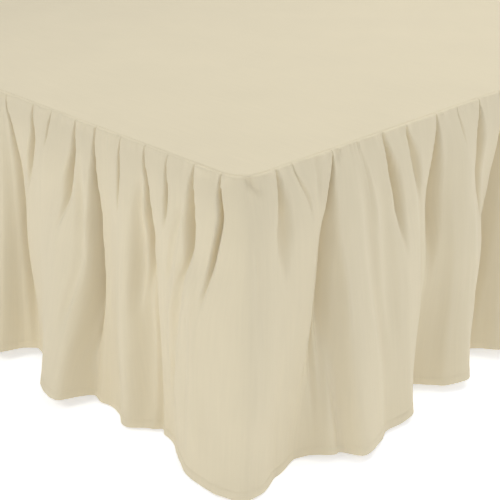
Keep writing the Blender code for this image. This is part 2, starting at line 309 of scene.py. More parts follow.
def grid_mesh(name, place, cloth):
    """A sheet with a position and a flat place for each corner of its squares, in rows from the top."""
    down, across = place.shape[0] - 1, place.shape[1] - 1
    bm = bmesh.new()
    bmesh.ops.create_grid(bm, x_segments=across, y_segments=down, size=1.0, calc_uvs=False)
    mesh = bpy.data.meshes.new(name)
    bm.to_mesh(mesh)
    bm.free()
    corners = np.empty(len(mesh.vertices) * 3)
    mesh.vertices.foreach_get("co", corners)
    corners = corners.reshape(-1, 3)
    column = np.rint((corners[:, 0] + 1.0) / 2.0 * across).astype(int)
    row = np.rint((1.0 - corners[:, 1]) / 2.0 * down).astype(int)
    mesh.vertices.foreach_set("co", place[row, column].ravel())
    uses = np.empty(len(mesh.loops), int)
    mesh.loops.foreach_get("vertex_index", uses)
    mesh.uv_layers.new(name="Cloth").data.foreach_set("uv", cloth[row, column][uses].ravel())
    mesh.shade_smooth()
    mesh.update()
    made = bpy.data.objects.new(name, mesh)
    scene.collection.objects.link(made)
    return made


def face_out(piece, toward):
    """Turns the sheet's faces over if the middle one looks away from the direction given."""
    mesh = piece.data
    middle = mesh.polygons[len(mesh.polygons) // 2]
    if middle.normal.dot(Vector(toward(middle.center))) < 0.0:
        mesh.flip_normals()


def thicken(piece):
    """Gives the sheet its cloth's thickness, inward from its face."""
    made = piece.modifiers.new("Cloth thickness", "SOLIDIFY")
    made.thickness = SHEET_THICKNESS
    made.offset = -1.0


def spread(length, edge):
    """Distances along a length, close together for an edge at either end and wider between."""
    fine = np.arange(0.0, edge, EDGE_STEP)
    coarse = np.linspace(edge, length - edge, max(2, round((length - 2 * edge) / PANEL_STEP)))
    return np.concatenate((fine, coarse, length - fine[::-1]))


def cream_cotton(name):
    """Plain-weave poly-cotton, matte, with uneven threads, faint creasing and a cloudy tone."""
    made, tree, shader = new_material(name, CREAM_ROUGHNESS)
    cloth = tree.nodes.new("ShaderNodeUVMap")
    cloth.uv_map = "Cloth"
    place = cloth.outputs[0]
    weave = weave_node(tree, place, CREAM_THREAD)
    clouds = noise_node(tree, place, CLOUDS, CLOUD_DETAIL)
    threads = math_node(tree, "MULTIPLY", weave.outputs["Shade"], 1.0 - CLOUD_SHARE)
    tone = blend_node(tree, threads, clouds, CLOUD_SHARE)
    tree.links.new(shade_node(tree, tone, CREAM, CREAM_SHADES), shader.inputs["Base Color"])
    tree.links.new(blend_node(tree, CREAM_ROUGHNESS, clouds, CLOUD_ROUGHNESS), shader.inputs["Roughness"])
    soft = bump_node(tree, noise_node(tree, place, CREASING, CREASING_DETAIL), *CREASING_BUMP)
    fine = bump_node(tree, weave.outputs["Height"], *WEAVE_BUMP, soft)
    tree.links.new(fine, shader.inputs["Normal"])
    shader.inputs["Sheen Weight"].default_value = CREAM_SHEEN
    shader.inputs["Sheen Roughness"].default_value = CREAM_SHEEN_ROUGHNESS
    shader.inputs["Specular IOR Level"].default_value = CREAM_SHINE
    return made


def corner_round(beyond_x, beyond_y):
    """Distance from the corner's centre and direction for a place in a square corner, made round."""
    reach = np.maximum(np.maximum(beyond_x, beyond_y), 1e-9)
    share = np.where(beyond_x >= beyond_y, beyond_y / reach, 2.0 - beyond_x / reach)
    turn = np.clip(share, 0.0, 2.0) * math.pi / 4
    return reach, np.cos(turn), np.sin(turn)


def panel_lines():
    """Flat places of the panel's rows and columns, and how far it lies flat from a corner's centre."""
    flat_reach = FOOT_CORNER_RADIUS + SEAM_OUT - ALLOWANCE_INSIDE - EDGE_ROLL
    roll = EDGE_ROLL * math.pi / 2
    over_edge = flat_reach + roll - FOOT_CORNER_RADIUS
    across = spread(BED_WIDTH + 2 * over_edge, roll + SEWN_EDGE)
    across -= across[-1] / 2
    down = spread(BED_LENGTH + over_edge, roll + SEWN_EDGE)
    down = BED_MIDDLE_Y - BED_LENGTH / 2 - over_edge + down
    return across, down[::-1], flat_reach


def platform_shape():
    """Positions and flat places of the panel's grid: flat on the base and turned down round the edge."""
    across, down, flat_reach = panel_lines()
    flat_x, flat_y = np.meshgrid(across, down)
    centre_x = np.sign(flat_x) * np.minimum(np.abs(flat_x), BED_WIDTH / 2 - FOOT_CORNER_RADIUS)
    centre_y = np.maximum(flat_y, BED_MIDDLE_Y - BED_LENGTH / 2 + FOOT_CORNER_RADIUS)
    reach, toward_x, toward_y = corner_round(np.abs(flat_x - centre_x), centre_y - flat_y)
    turn = np.maximum(reach - flat_reach, 0.0) / EDGE_ROLL
    out = np.minimum(reach, flat_reach) + EDGE_ROLL * np.sin(turn)
    out += CORNER_STANDS * (2.0 * toward_x * toward_y) ** 2 * np.minimum(reach / flat_reach, 1.0)
    x = centre_x + np.sign(flat_x) * toward_x * out
    y = centre_y - toward_y * out
    ripple_across = (flat_x + flat_y) / RIPPLE_SIZES[0] + RIPPLE_OFFSETS[0]
    ripple_along = (flat_x - flat_y) / RIPPLE_SIZES[1] + RIPPLE_OFFSETS[1]
    ripple = RIPPLE_HEIGHT * drift(ripple_across, ripple_along, RIPPLE_SEED)
    drawn_up = np.exp(-(((flat_reach - reach) / (SEWN_EDGE / 2)) ** 2))
    head_hem = HEM_RISE * (1.0 - smooth_step(HEAD_HEM, HEAD_HEM + EDGE_STEP, flat_y.max() - flat_y))
    lie = waves(flat_x, flat_y, PANEL_WAVES) + drawn_up * ripple + head_hem
    z = PLATFORM_TOP - PANEL_SINKS + lie - EDGE_ROLL * (1.0 - np.cos(turn))
    return np.stack((x, y, z), axis=2), np.stack((flat_x, flat_y), axis=2)


STITCH_PITCH = 0.0034
STITCH_SIZE = (0.0024, 0.00045, 0.0003)
STITCH_STANDS = 0.00005  # how far a stitch's middle stands out from the cloth's face
THREAD_ROUGHNESS = 0.7
THREAD_SHADES = ((0.3, 0.96), (0.7, 1.10))
THREAD_FIBRES = 600.0  # scale of the thread's uneven shade


def stitches(name, line, below):
    """Short stitches of thread along a line on the cloth, whose next row lies below it, as one mesh."""
    bm = bmesh.new()
    steps = np.linalg.norm(np.diff(line, axis=0), axis=1)
    lengths = np.concatenate(((0.0,), np.cumsum(steps)))
    for middle in np.arange(STITCH_PITCH, lengths[-1] - STITCH_PITCH, STITCH_PITCH):
        ends = [
            Vector([float(np.interp(middle + half, lengths, line[:, axis])) for axis in range(3)])
            for half in (-STITCH_SIZE[0] / 2, STITCH_SIZE[0] / 2)
        ]
        drop = Vector(below[np.searchsorted(lengths, middle) - 1])
        along = (ends[1] - ends[0]).normalized()
        out = drop.cross(along).normalized()
        turn = Matrix((along, out.cross(along), out)).transposed().to_4x4()
        turn.translation = (ends[0] + ends[1]) / 2 + out * STITCH_STANDS
        size = Matrix.Diagonal((*STITCH_SIZE, 1.0))
        bmesh.ops.create_cube(bm, size=1.0, matrix=turn @ size)
    mesh = bpy.data.meshes.new(name)
    bm.to_mesh(mesh)
    bm.free()
    made = bpy.data.objects.new(name, mesh)
    scene.collection.objects.link(made)
    return made


def thread_material():
    """Cream sewing thread, a little glossier than the cloth."""
    made, tree, shader = new_material("cream sewing thread", THREAD_ROUGHNESS)
    place = tree.nodes.new("ShaderNodeTexCoord").outputs["Object"]
    shade = shade_node(tree, noise_node(tree, place, THREAD_FIBRES), CREAM, THREAD_SHADES)
    tree.links.new(shade, shader.inputs["Base Color"])
    return made


place, cloth = platform_shape()
platform = grid_mesh("platform_sheet_cloth", place, cloth)
face_out(platform, lambda at: (0.0, 0.0, 1.0))
thicken(platform)
platform.data.materials.append(cream_cotton("cream cotton panel"))
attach(platform, "root")
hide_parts("platform_sheet")
thread_finish = thread_material()
head_line, below = place[HEAD_STITCHES], place[HEAD_STITCHES + 1] - place[HEAD_STITCHES]
head_thread = stitches("platform_sheet_hem_stitches", head_line, below)
head_thread.data.materials.append(thread_finish)
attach(head_thread, "root")

# ---------------------------------------------------------------------------------------------------
# Ruffle: four widths of the same cloth, seamed into one long frill, gathered on a running thread and
# sewn to the panel's edge. It hangs in uneven folds, and its hem is turned up twice and stitched.

RUFFLE_WIDTHS = ("ruffle_side_left", "ruffle_corner_left", "ruffle_corner_right", "ruffle_side_right")
DROP = 0.4045
JOIN_GAP = 0.0003  # between one width and the next
CLEARANCE = 0.0032  # the least distance from the base's side
CORNER_DIP = 0.0066  # the ruffle hangs this much lower beside the left foot corner
CORNER_DIP_AT = 0.07  # where it hangs lowest, along the foot from that corner
CORNER_DIP_REACH = 0.40
LEVEL_STEP = 0.002
LEVEL_STEPS = 25  # over this many steps, an odd number, the cloth hangs level with itself

# How far the gathered cloth stands out under the seam, before the lobes of the hem take over
SEAM_BULGE = 0.0022  # at once, under the stitches
PUFF = 0.021
PUFF_RISE = 0.22  # share of the drop by which it stands out in full
PUFF_ROUNDING = 1.5  # the higher this power, the sooner under the seam it does so
LOBE_START = 0.02  # share of the drop at which the lobes of the hem begin to open
MOST_SLANT = 0.5  # the cloth always falls by at least this share of its own length
CORNER_FALLS_BACK = 0.35  # share of the drop over which the corner's gathers come back to the base

# The valley of a gather. The cloth laps over toward the left foot corner, so the valley's far wall is
# wide and its near wall steep. Both are shares of the gather's width.
SLIT_AT_SEAM = 0.07  # width of a gather's slit at the seam, as a share of its full width
SLIT_FLOOR = 0.26  # share of the width that lies at its full depth
CLOSING_START = 0.45  # share of its reach at which a gather begins to close
CLOSED_WIDTH = 0.45  # share of its width that a gather keeps where it closes
FAR_WALL = 1.25
NEAR_WALL = 0.65
LAP_FADES = (0.32, 0.75)  # between these shares of the drop the near wall grows as wide as the far one
HOLLOW = 0.30  # share of a valley's depth that lies in the soft hollow on both its sides
HOLLOW_GROWS = 0.30  # share of the drop over which that hollow grows
CREASE_ENDS = 1.6  # the higher this is, the shorter the ends over which a crease between gathers dies out

# The mesh
CLOTH_STEP = 0.0025  # spacing of its columns
LEAST_COLUMNS = 8  # from one gather to the next
CROWDING = 0.6  # how far the columns crowd towards the gathers
DOWN_STEPS = 61  # rows above the hem
ROW_CROWDING = 1.25  # the higher this power, the closer the rows under the seam
HEM_STITCHES = 0.012  # height of the hem's stitching above the edge
HEM_ROWS = (0.0150, 0.0132, 0.0126, HEM_STITCHES, 0.0114, 0.0100, 0.0050, 0.0015, 0.0)
HEM_MARGIN = 0.004  # the other rows end at least this far above the hem's
SEWN_AT = 0.40  # the ruffle is sewn on this share of the way round the platform's turned edge
SEWN_GAP = 0.0001  # between the panel's turned edge and the ruffle where it is sewn over it
ROLL_ROWS = 5

# The cloth's fine unevenness. A width's place along the bed, times the shift, moves all its waves on.
WIDTH_SHIFT = 3.0
STREAKS_GROW = 0.15  # share of the drop over which the streaks grow from nothing
STREAKS = (
    # height, width, length, offset, seed
    (0.0010, 0.024, 0.26, 0.0, 21),
    (0.0003, 0.009, 0.12, 0.0, 22),
    (0.0013, 0.075, 0.09, 0.0, 23),
)
TUCKS_FADE = 0.013  # distance below the seam in which the gathering's puckers die out
TUCKS = (
    # height, width, length, offset, seed
    (0.0015, 0.0075, 0.05, 0.0, 31),
    (0.0017, 0.017, 0.07, 0.0, 32),
)
HEM_EDGE = 0.0014  # distance in which the hem's double cloth rises
HEM_GROOVE = (0.0003, 0.0006)  # depth and half width of the groove that its stitching makes
HEM_PUCKERS_FADE = 0.014  # distance above the hem's edge in which its puckers die out
HEM_PUCKERS = (
    # height, width, length, offset, seed
    (0.0006, 0.009, 0.01, 0.0, 41),
)

# Lengths round the base, from the head end of the left side to the head end of the right side
SIDE_RUN = BED_LENGTH - FOOT_CORNER_RADIUS
CORNER_RUN = FOOT_CORNER_RADIUS * math.pi / 2
FOOT_RUN = BED_WIDTH - 2 * FOOT_CORNER_RADIUS
WHOLE_RUN = 2 * SIDE_RUN + 2 * CORNER_RUN + FOOT_RUN
LEFT_CORNER = SIDE_RUN + CORNER_RUN / 2

# Places are metres from the left foot corner, minus up the long side and plus along the foot, on the
# valley's line at LINE_SHARES of the way down. Depth is the valley's and width half of its own. It has
# all its width at opens and has closed at reach, both shares of the drop.
LINE_SHARES = (0.0, 0.12, 0.25, 0.5, 1.0)
GATHERS = (
    # seam, eighth, quarter, half, hem, depth, reach, width, opens
    (-0.575, -0.566, -0.560, -0.545, -0.540, 0.012, 0.45, 0.012, 0.20),
    (-0.535, -0.531, -0.528, -0.510, -0.500, 0.009, 0.30, 0.008, 0.16),
    (-0.498, -0.471, -0.453, -0.442, -0.425, 0.019, 1.10, 0.010, 0.25),
    (-0.428, -0.412, -0.417, -0.428, -0.395, 0.018, 0.34, 0.011, 0.17),
    (-0.382, -0.376, -0.378, -0.380, -0.368, 0.008, 0.13, 0.003, 0.05),
    (-0.320, -0.305, -0.306, -0.328, -0.335, 0.026, 0.40, 0.014, 0.19),
    (-0.274, -0.260, -0.252, -0.250, -0.268, 0.036, 1.00, 0.011, 0.30),
    (-0.220, -0.207, -0.200, -0.203, -0.196, 0.008, 0.26, 0.004, 0.08),
    (-0.170, -0.152, -0.145, -0.150, -0.130, 0.026, 0.52, 0.012, 0.28),
    (-0.126, -0.112, -0.109, -0.110, -0.094, 0.015, 0.24, 0.006, 0.14),
    (-0.075, -0.065, -0.062, -0.090, -0.062, 0.030, 0.41, 0.013, 0.16),
    (-0.028, -0.018, -0.024, -0.035, -0.028, 0.016, 0.46, 0.0028, 0.06),
    (0.006, 0.008, 0.010, 0.010, 0.005, 0.001, 0.08, 0.004, 0.05),
    (0.051, 0.046, 0.041, 0.038, 0.027, 0.013, 0.36, 0.015, 0.16),
    (0.079, 0.092, 0.097, 0.088, 0.046, 0.003, 0.20, 0.005, 0.10),
    (0.148, 0.131, 0.118, 0.104, 0.083, 0.020, 1.00, 0.014, 0.24),
    (0.200, 0.200, 0.198, 0.201, 0.188, 0.001, 0.30, 0.003, 0.10),
    (0.250, 0.251, 0.255, 0.260, 0.245, 0.024, 0.44, 0.014, 0.14),
    (0.298, 0.303, 0.307, 0.311, 0.275, 0.010, 0.28, 0.012, 0.10),
    (0.368, 0.356, 0.345, 0.340, 0.300, 0.028, 0.62, 0.018, 0.22),
    (0.418, 0.415, 0.412, 0.405, 0.372, 0.003, 0.15, 0.004, 0.08),
    (0.474, 0.461, 0.451, 0.453, 0.410, 0.022, 0.52, 0.015, 0.14),
    (0.530, 0.524, 0.513, 0.489, 0.452, 0.022, 1.00, 0.014, 0.20),
    (0.575, 0.570, 0.565, 0.545, 0.505, 0.009, 0.40, 0.008, 0.16),
    (0.622, 0.618, 0.614, 0.597, 0.562, 0.016, 1.00, 0.013, 0.22),
    (0.670, 0.668, 0.665, 0.652, 0.628, 0.010, 0.40, 0.008, 0.16),
)

# The hem's line round the same corner: how far it stands out from the base's side
HEM = (
    # place, out
    (-0.560, 0.095),
    (-0.500, 0.108),
    (-0.455, 0.098),
    (-0.440, 0.060),
    (-0.420, 0.044),
    (-0.395, 0.050),
    (-0.357, 0.078),
    (-0.326, 0.101),
    (-0.297, 0.107),
    (-0.278, 0.104),
    (-0.258, 0.060),
    (-0.230, 0.045),
    (-0.205, 0.050),
    (-0.178, 0.064),
    (-0.150, 0.052),
    (-0.112, 0.034),
    (-0.060, 0.060),
    (-0.028, 0.071),
    (-0.010, 0.084),
    (0.000, 0.091),
    (0.010, 0.079),
    (0.025, 0.050),
    (0.056, 0.041),
    (0.070, 0.048),
    (0.087, 0.069),
    (0.102, 0.094),
    (0.130, 0.110),
    (0.168, 0.101),
    (0.192, 0.090),
    (0.239, 0.096),
    (0.269, 0.076),
    (0.297, 0.045),
    (0.325, 0.067),
    (0.340, 0.088),
    (0.372, 0.103),
    (0.405, 0.080),
    (0.440, 0.045),
    (0.463, 0.065),
    (0.478, 0.091),
    (0.510, 0.107),
    (0.562, 0.046),
    (0.615, 0.098),
)

# Soft troughs between the gathers, and soft ridges, whose depth is below zero. Places are as above, at
# the crease's start, middle and end. From and to are shares of the drop, and width is half its own.
CREASES = (
    # start, middle, end, from, to, depth, width
    (-0.286, -0.272, -0.290, 0.10, 0.76, 0.0055, 0.011),
    (-0.255, -0.260, -0.272, 0.34, 1.35, 0.0120, 0.020),
    (-0.165, -0.166, -0.168, 0.08, 0.60, 0.0075, 0.010),
    (-0.155, -0.149, -0.145, 0.22, 1.10, 0.0125, 0.028),
    (-0.138, -0.132, -0.129, 0.34, 1.25, 0.0080, 0.011),
    (-0.073, -0.083, -0.092, 0.26, 0.84, 0.0090, 0.016),
    (-0.084, -0.094, -0.102, 0.10, 0.42, 0.0035, 0.008),
    (-0.052, -0.039, -0.033, 0.22, 0.96, -0.0042, 0.011),
    (-0.020, -0.020, -0.019, 0.34, 0.90, 0.0026, 0.008),
    (0.004, 0.003, 0.001, 0.14, 0.90, -0.0050, 0.011),
    (0.011, 0.011, 0.010, 0.18, 0.44, 0.0014, 0.003),
    (0.004, 0.011, 0.020, -0.02, 0.065, 0.0045, 0.0060),
    (0.124, 0.109, 0.100, 0.16, 1.40, 0.0145, 0.0190),
    (0.113, 0.107, 0.100, 0.36, 1.50, 0.0036, 0.0095),
    (0.119, 0.117, 0.112, -0.04, 0.13, 0.0022, 0.007),
    (0.134, 0.135, 0.130, 0.20, 0.62, -0.0022, 0.007),
    (0.192, 0.188, 0.196, 0.06, 0.80, 0.0045, 0.020),
    (0.206, 0.206, 0.206, 0.04, 0.30, -0.0013, 0.005),
    (0.225, 0.222, 0.216, 0.04, 0.75, 0.0040, 0.020),
    (0.304, 0.309, 0.305, 0.06, 0.66, 0.0050, 0.015),
    (0.420, 0.413, 0.400, 0.30, 0.85, -0.0025, 0.014),
)

# The other gathers follow these ranges. One gather in two or three runs down to the hem, and the hem
# bows out in a lobe between one such gather and the next.
SEED = 3499
PITCH = (0.036, 0.060)
LEAN = 0.018
LEANS = (0.15, 0.3, 0.6)  # shares of the lean that a gather has at the middle marks of its line
DEPTHS = (0.006, 0.016)
WIDTHS = (0.005, 0.012)
REACHES = (0.20, 0.50)
FULL_REACH = 1.1
OTHER_OPENS = 0.18
GATHERS_PER_LOBE = (2, 3)
RECESS_OUT = (0.038, 0.050)
TIP_OUT = (0.086, 0.106)
TIP_PLACES = (0.40, 0.60)  # shares of the way from one recess of the hem to the next
LAST_PITCH = 0.6  # the row ends once less than this share of the least pitch is left


def smooth_curve(places, heights, at):
    """A curve through the given heights that never overshoots them."""
    places = np.asarray(places, float)
    heights = np.asarray(heights, float)
    steps = np.diff(heights) / np.diff(places)
    tangents = np.zeros(len(places))
    for i in range(1, len(places) - 1):
        if steps[i - 1] * steps[i] > 0:
            tangents[i] = 2.0 * steps[i - 1] * steps[i] / (steps[i - 1] + steps[i])
    span = np.clip(np.searchsorted(places, at, side="right") - 1, 0, len(places) - 2)
    width = places[span + 1] - places[span]
    share = np.clip((at - places[span]) / width, 0.0, 1.0)
    rise = share * share * (3.0 - 2.0 * share)
    leaving = share * (1.0 - share) ** 2 * width * tangents[span]
    arriving = share * share * (share - 1.0) * width * tangents[span + 1]
    return heights[span] + (heights[span + 1] - heights[span]) * rise + leaving + arriving


def run_from_corner(place):
    """Length along the base's side of a place given from the left foot corner."""
    beyond = abs(place) - FOOT_CORNER_RADIUS
    half = CORNER_RUN / 2
    length = half + beyond if beyond > 0 else half * abs(place) / FOOT_CORNER_RADIUS
    return LEFT_CORNER + math.copysign(length, place)


def other_folds(draw, end, hem_end):
    """Gathers and hem points from the free edge of the ruffle as far as the places given."""
    folds = []
    line = []
    place = 0.0
    until_recess = 1
    last_recess = None
    while place < end - PITCH[0] * LAST_PITCH:
        lean = draw.uniform(-LEAN, LEAN)
        hem_place = max(place + lean, 0.0) if folds else 0.0
        until_recess -= 1
        if until_recess == 0 and hem_place < hem_end - PITCH[1]:
            reach = FULL_REACH
            until_recess = draw.choice(GATHERS_PER_LOBE)
            if last_recess is not None:
                tip = last_recess + (hem_place - last_recess) * draw.uniform(*TIP_PLACES)
                line.append((tip, draw.uniform(*TIP_OUT)))
            line.append((hem_place, draw.uniform(*RECESS_OUT)))
            last_recess = hem_place
        else:
            reach = draw.uniform(*REACHES)
        middle = tuple(place + share * (hem_place - place) for share in LEANS)
        depth = draw.uniform(*DEPTHS)
        share = (depth - DEPTHS[0]) / (DEPTHS[1] - DEPTHS[0])
        width = WIDTHS[0] + (WIDTHS[1] - WIDTHS[0]) * share
        folds.append((place, *middle, hem_place, depth, reach, width, OTHER_OPENS))
        place += draw.uniform(*PITCH)
    return folds, line


def all_folds():
    """Every gather and hem point in order round the bed, with places as lengths along its side."""
    marks = len(LINE_SHARES)
    folds = [tuple(map(run_from_corner, row[:marks])) + row[marks:] for row in GATHERS]
    line = [(run_from_corner(place), out) for place, out in HEM]
    draw = random.Random(SEED)
    before, line_before = other_folds(draw, folds[0][0], line[0][0])
    after, line_after = other_folds(draw, WHOLE_RUN - folds[-1][0], WHOLE_RUN - line[-1][0])
    after = [tuple(WHOLE_RUN - place for place in row[:marks]) + row[marks:] for row in reversed(after)]
    line_after = [(WHOLE_RUN - place, out) for place, out in reversed(line_after)]
    return np.array(before + folds + after), np.array(line_before + line + line_after)


gathers, hem = all_folds()
gather_lines = gathers[:, : len(LINE_SHARES)]
gather_depths, gather_reaches, gather_widths, gather_opens = gathers[:, len(LINE_SHARES) :].T


def gather_places(share):
    """Where each gather's line is at a share of the drop."""
    return np.array([float(smooth_curve(LINE_SHARES, line, share)) for line in gather_lines])


def base_side(run):
    """Points on the base's side and its outward directions, at lengths along it."""
    foot_y = BED_MIDDLE_Y - BED_LENGTH / 2
    ends = np.cumsum((SIDE_RUN, CORNER_RUN, FOOT_RUN, CORNER_RUN))
    first_turn = np.clip((run - ends[0]) / CORNER_RUN, 0.0, 1.0)
    second_turn = np.clip((run - ends[2]) / CORNER_RUN, 0.0, 1.0)
    heading = math.pi + (first_turn + second_turn) * math.pi / 2
    out_x = np.cos(heading)
    out_y = np.sin(heading)
    along_foot = np.clip(run - ends[1], 0.0, FOOT_RUN)
    centre_x = -BED_WIDTH / 2 + FOOT_CORNER_RADIUS + along_foot
    centre_y = foot_y + BED_LENGTH - np.minimum(run, SIDE_RUN) + np.maximum(run - ends[3], 0.0)
    return centre_x + FOOT_CORNER_RADIUS * out_x, centre_y + FOOT_CORNER_RADIUS * out_y, out_x, out_y


def closing(near, share):
    """How far gathers have closed at a share of the drop, from 0 to 1."""
    return smooth_step(gather_reaches[near] * CLOSING_START, gather_reaches[near], share)


def valleys(runs, lines, index, between, share):
    """Depth of the valleys of the nearest four gathers at places along one row."""
    deepest = np.zeros(len(runs))
    for step in (-1, 0, 1, 2):
        near = np.clip(index + step, 0, len(gathers) - 1)
        closed = closing(near, share)
        depth = gather_depths[near] * (1.0 - closed)
        opened = np.clip(share / gather_opens[near], 0.0, 1.0)
        width = gather_widths[near] * (SLIT_AT_SEAM + (1.0 - SLIT_AT_SEAM) * opened)
        width = width * (1.0 - (1.0 - CLOSED_WIDTH) * closed)
        toward_corner = (runs - lines[near]) * np.sign(LEFT_CORNER - gather_lines[near, 0])
        near_wall = NEAR_WALL + (FAR_WALL - NEAR_WALL) * smooth_step(*LAP_FADES, share)
        width = width * np.where(toward_corner > 0.0, near_wall, FAR_WALL)
        slit = 1.0 - smooth_step(width * SLIT_FLOOR, width, np.abs(toward_corner))
        deepest = np.maximum(deepest, depth * slit)
    hollow = np.zeros(len(runs))
    for near, away in ((index, between), (index + 1, 1.0 - between)):
        hollow += gather_depths[near] * (1.0 - closing(near, share)) * np.cos(away * math.pi / 2) ** 2
    soft = HOLLOW * smooth_step(0.0, HOLLOW_GROWS, share)
    return (1.0 - soft) * deepest + soft * hollow


def creases(runs, share):
    """Depth of the soft troughs, less the height of the ridges, at places along one row."""
    depths = np.zeros(len(runs))
    for start, middle, end, top, bottom, depth, width in CREASES:
        along = (share - top) / (bottom - top)
        if not 0.0 < along < 1.0:
            continue
        places = [run_from_corner(place) for place in (start, middle, end)]
        line = float(smooth_curve((0.0, 0.5, 1.0), places, along))
        away = np.minimum(np.abs(runs - line) / width, 1.0)
        fade = min(math.sin(along * math.pi) * CREASE_ENDS, 1.0)
        depths += depth * fade * np.cos(away * math.pi / 2) ** 2
    return depths


def ruffle_surface(columns, shares):
    """Lengths along the base and distances out, for columns at gathers and rows at shares of the drop."""
    index = np.clip(np.floor(columns).astype(int), 0, len(gathers) - 2)
    between = columns - index
    hem_line = gather_lines[:, -1]
    hem_run = hem_line[index] + (hem_line[index + 1] - hem_line[index]) * between
    lobes = smooth_curve(hem[:, 0], hem[:, 1], hem_run)
    runs = []
    outs = []
    for share in shares:
        lines = gather_places(share)
        run = lines[index] + (lines[index + 1] - lines[index]) * between
        opened = max(share - LOBE_START, 0.0) / (1.0 - LOBE_START)
        puffed = 1.0 - max(1.0 - share / PUFF_RISE, 0.0) ** PUFF_ROUNDING
        puff = SEAM_BULGE + (PUFF - SEAM_BULGE) * puffed
        out = SEAM_OUT + puff * (1.0 - opened) + (lobes - SEAM_OUT) * opened
        valley = valleys(run, lines, index, between, share) + creases(run, share)
        runs.append(run)
        outs.append(np.maximum(out - valley, CLEARANCE))
    return np.array(runs), np.array(outs)


def levelled(heights, places):
    """Heights evened out along each row, because the weft threads hold their neighbours level."""
    even = np.arange(places[0], places[-1], LEVEL_STEP)
    weights = np.hanning(LEVEL_STEPS)
    weights /= weights.sum()
    ends = min(len(weights) // 2, len(even) - 1)
    level = []
    for row in heights:
        padded = np.pad(np.interp(even, places, row), ends, mode="edge")
        level.append(np.interp(places, even, np.convolve(padded, weights, "valid")))
    from_ends = np.minimum(places - places[0], places[-1] - places)
    inside = smooth_step(0.0, LEVEL_STEP * LEVEL_STEPS / 2, from_ends)
    return heights + (np.array(level) - heights) * inside


def hanging_heights(runs, outs, shares, top):
    """Heights of the rows, so that the cloth keeps its length however it slants."""
    from_lowest = (runs[-1] - LEFT_CORNER - CORNER_DIP_AT) / CORNER_DIP_REACH
    drops = DROP + CORNER_DIP * np.exp(-(from_lowest**2))
    heights = [np.full(runs.shape[1], top)]
    for i in range(1, len(shares)):
        length = (shares[i] - shares[i - 1]) * drops
        slant = (outs[i] - outs[i - 1]) ** 2 + (runs[i] - runs[i - 1]) ** 2
        fall = np.sqrt(np.maximum(length * length - slant, (MOST_SLANT * length) ** 2))
        heights.append(heights[-1] - fall)
    return levelled(np.array(heights), runs[-1])


def width_joins():
    """The gathers at which the four widths of cloth meet, each at a fold that runs down to the hem."""
    deep = [i for i, reach in enumerate(gather_reaches) if reach >= 1.0]
    parts = len(RUFFLE_WIDTHS)
    even_places = [WHOLE_RUN * i / parts for i in range(1, parts)]
    nearest = [min(deep, key=lambda i: abs(gather_lines[i, 0] - place)) for place in even_places]
    return [0] + nearest + [len(gathers) - 1]


def cloth_columns(first, last):
    """Columns of the mesh from one gather to another, closer together beside each gather."""
    columns = []
    for i in range(first, last):
        apart = gather_lines[i + 1] - gather_lines[i]
        count = max(LEAST_COLUMNS, round(max(apart[0], apart[-1]) / CLOTH_STEP))
        between = np.arange(count) / count
        columns.extend(i + between - CROWDING * np.sin(2.0 * math.pi * between) / (2.0 * math.pi))
    columns.append(float(last))
    return np.array(columns)


def cloth_rows():
    """Rows of the mesh as shares of the drop, closer together under the seam and at the hem."""
    hanging = np.linspace(0.0, 1.0, DOWN_STEPS + 1)[:-1] ** ROW_CROWDING * (DROP - HEM_ROWS[0] - HEM_MARGIN)
    return np.concatenate((hanging, DROP - np.array(HEM_ROWS))) / DROP


def cloth_width(runs, outs):
    """Lengths along the lowest row, where the cloth hangs free and shows its own width."""
    x, y, out_x, out_y = base_side(runs)
    steps = np.hypot(np.diff(x + outs * out_x), np.diff(y + outs * out_y))
    return np.concatenate(((0.0,), np.cumsum(steps)))


def tucks(across, down):
    """The fine puckers that the gathering thread leaves, which die out a little below the seam."""
    return np.exp(-down / TUCKS_FADE) * waves(across, down, TUCKS)


def hem_relief(across, down):
    """The hem's double cloth and the small puckers that its stitching draws in."""
    above = DROP - down
    double = HEM_RISE * (1.0 - smooth_step(HEM_STITCHES, HEM_STITCHES + HEM_EDGE, above))
    groove = HEM_GROOVE[0] * np.exp(-(((above - HEM_STITCHES) / HEM_GROOVE[1]) ** 2))
    return double - groove + waves(across, down, HEM_PUCKERS) * np.exp(-above / HEM_PUCKERS_FADE)


def sewn_rows(seam_outs, clear):
    """Rows that turn in over the panel's edge to the stitches: distances out, heights and lengths up."""
    sewn = SEWN_AT * math.pi / 2
    turns = np.linspace(sewn, math.pi / 2, ROLL_ROWS, endpoint=False)[:, None]
    panel_radius = EDGE_ROLL - ALLOWANCE_INSIDE + SEWN_GAP
    at_seam = seam_outs - clear - (SEAM_OUT - EDGE_ROLL)
    radius = panel_radius + (at_seam - panel_radius) * smooth_step(sewn, math.pi / 2, turns)
    outs = SEAM_OUT - EDGE_ROLL + radius * np.sin(turns) + clear
    heights = PLATFORM_TOP - EDGE_ROLL + radius * np.cos(turns)
    return outs, heights, EDGE_ROLL * (math.pi / 2 - turns) * np.ones(len(seam_outs))


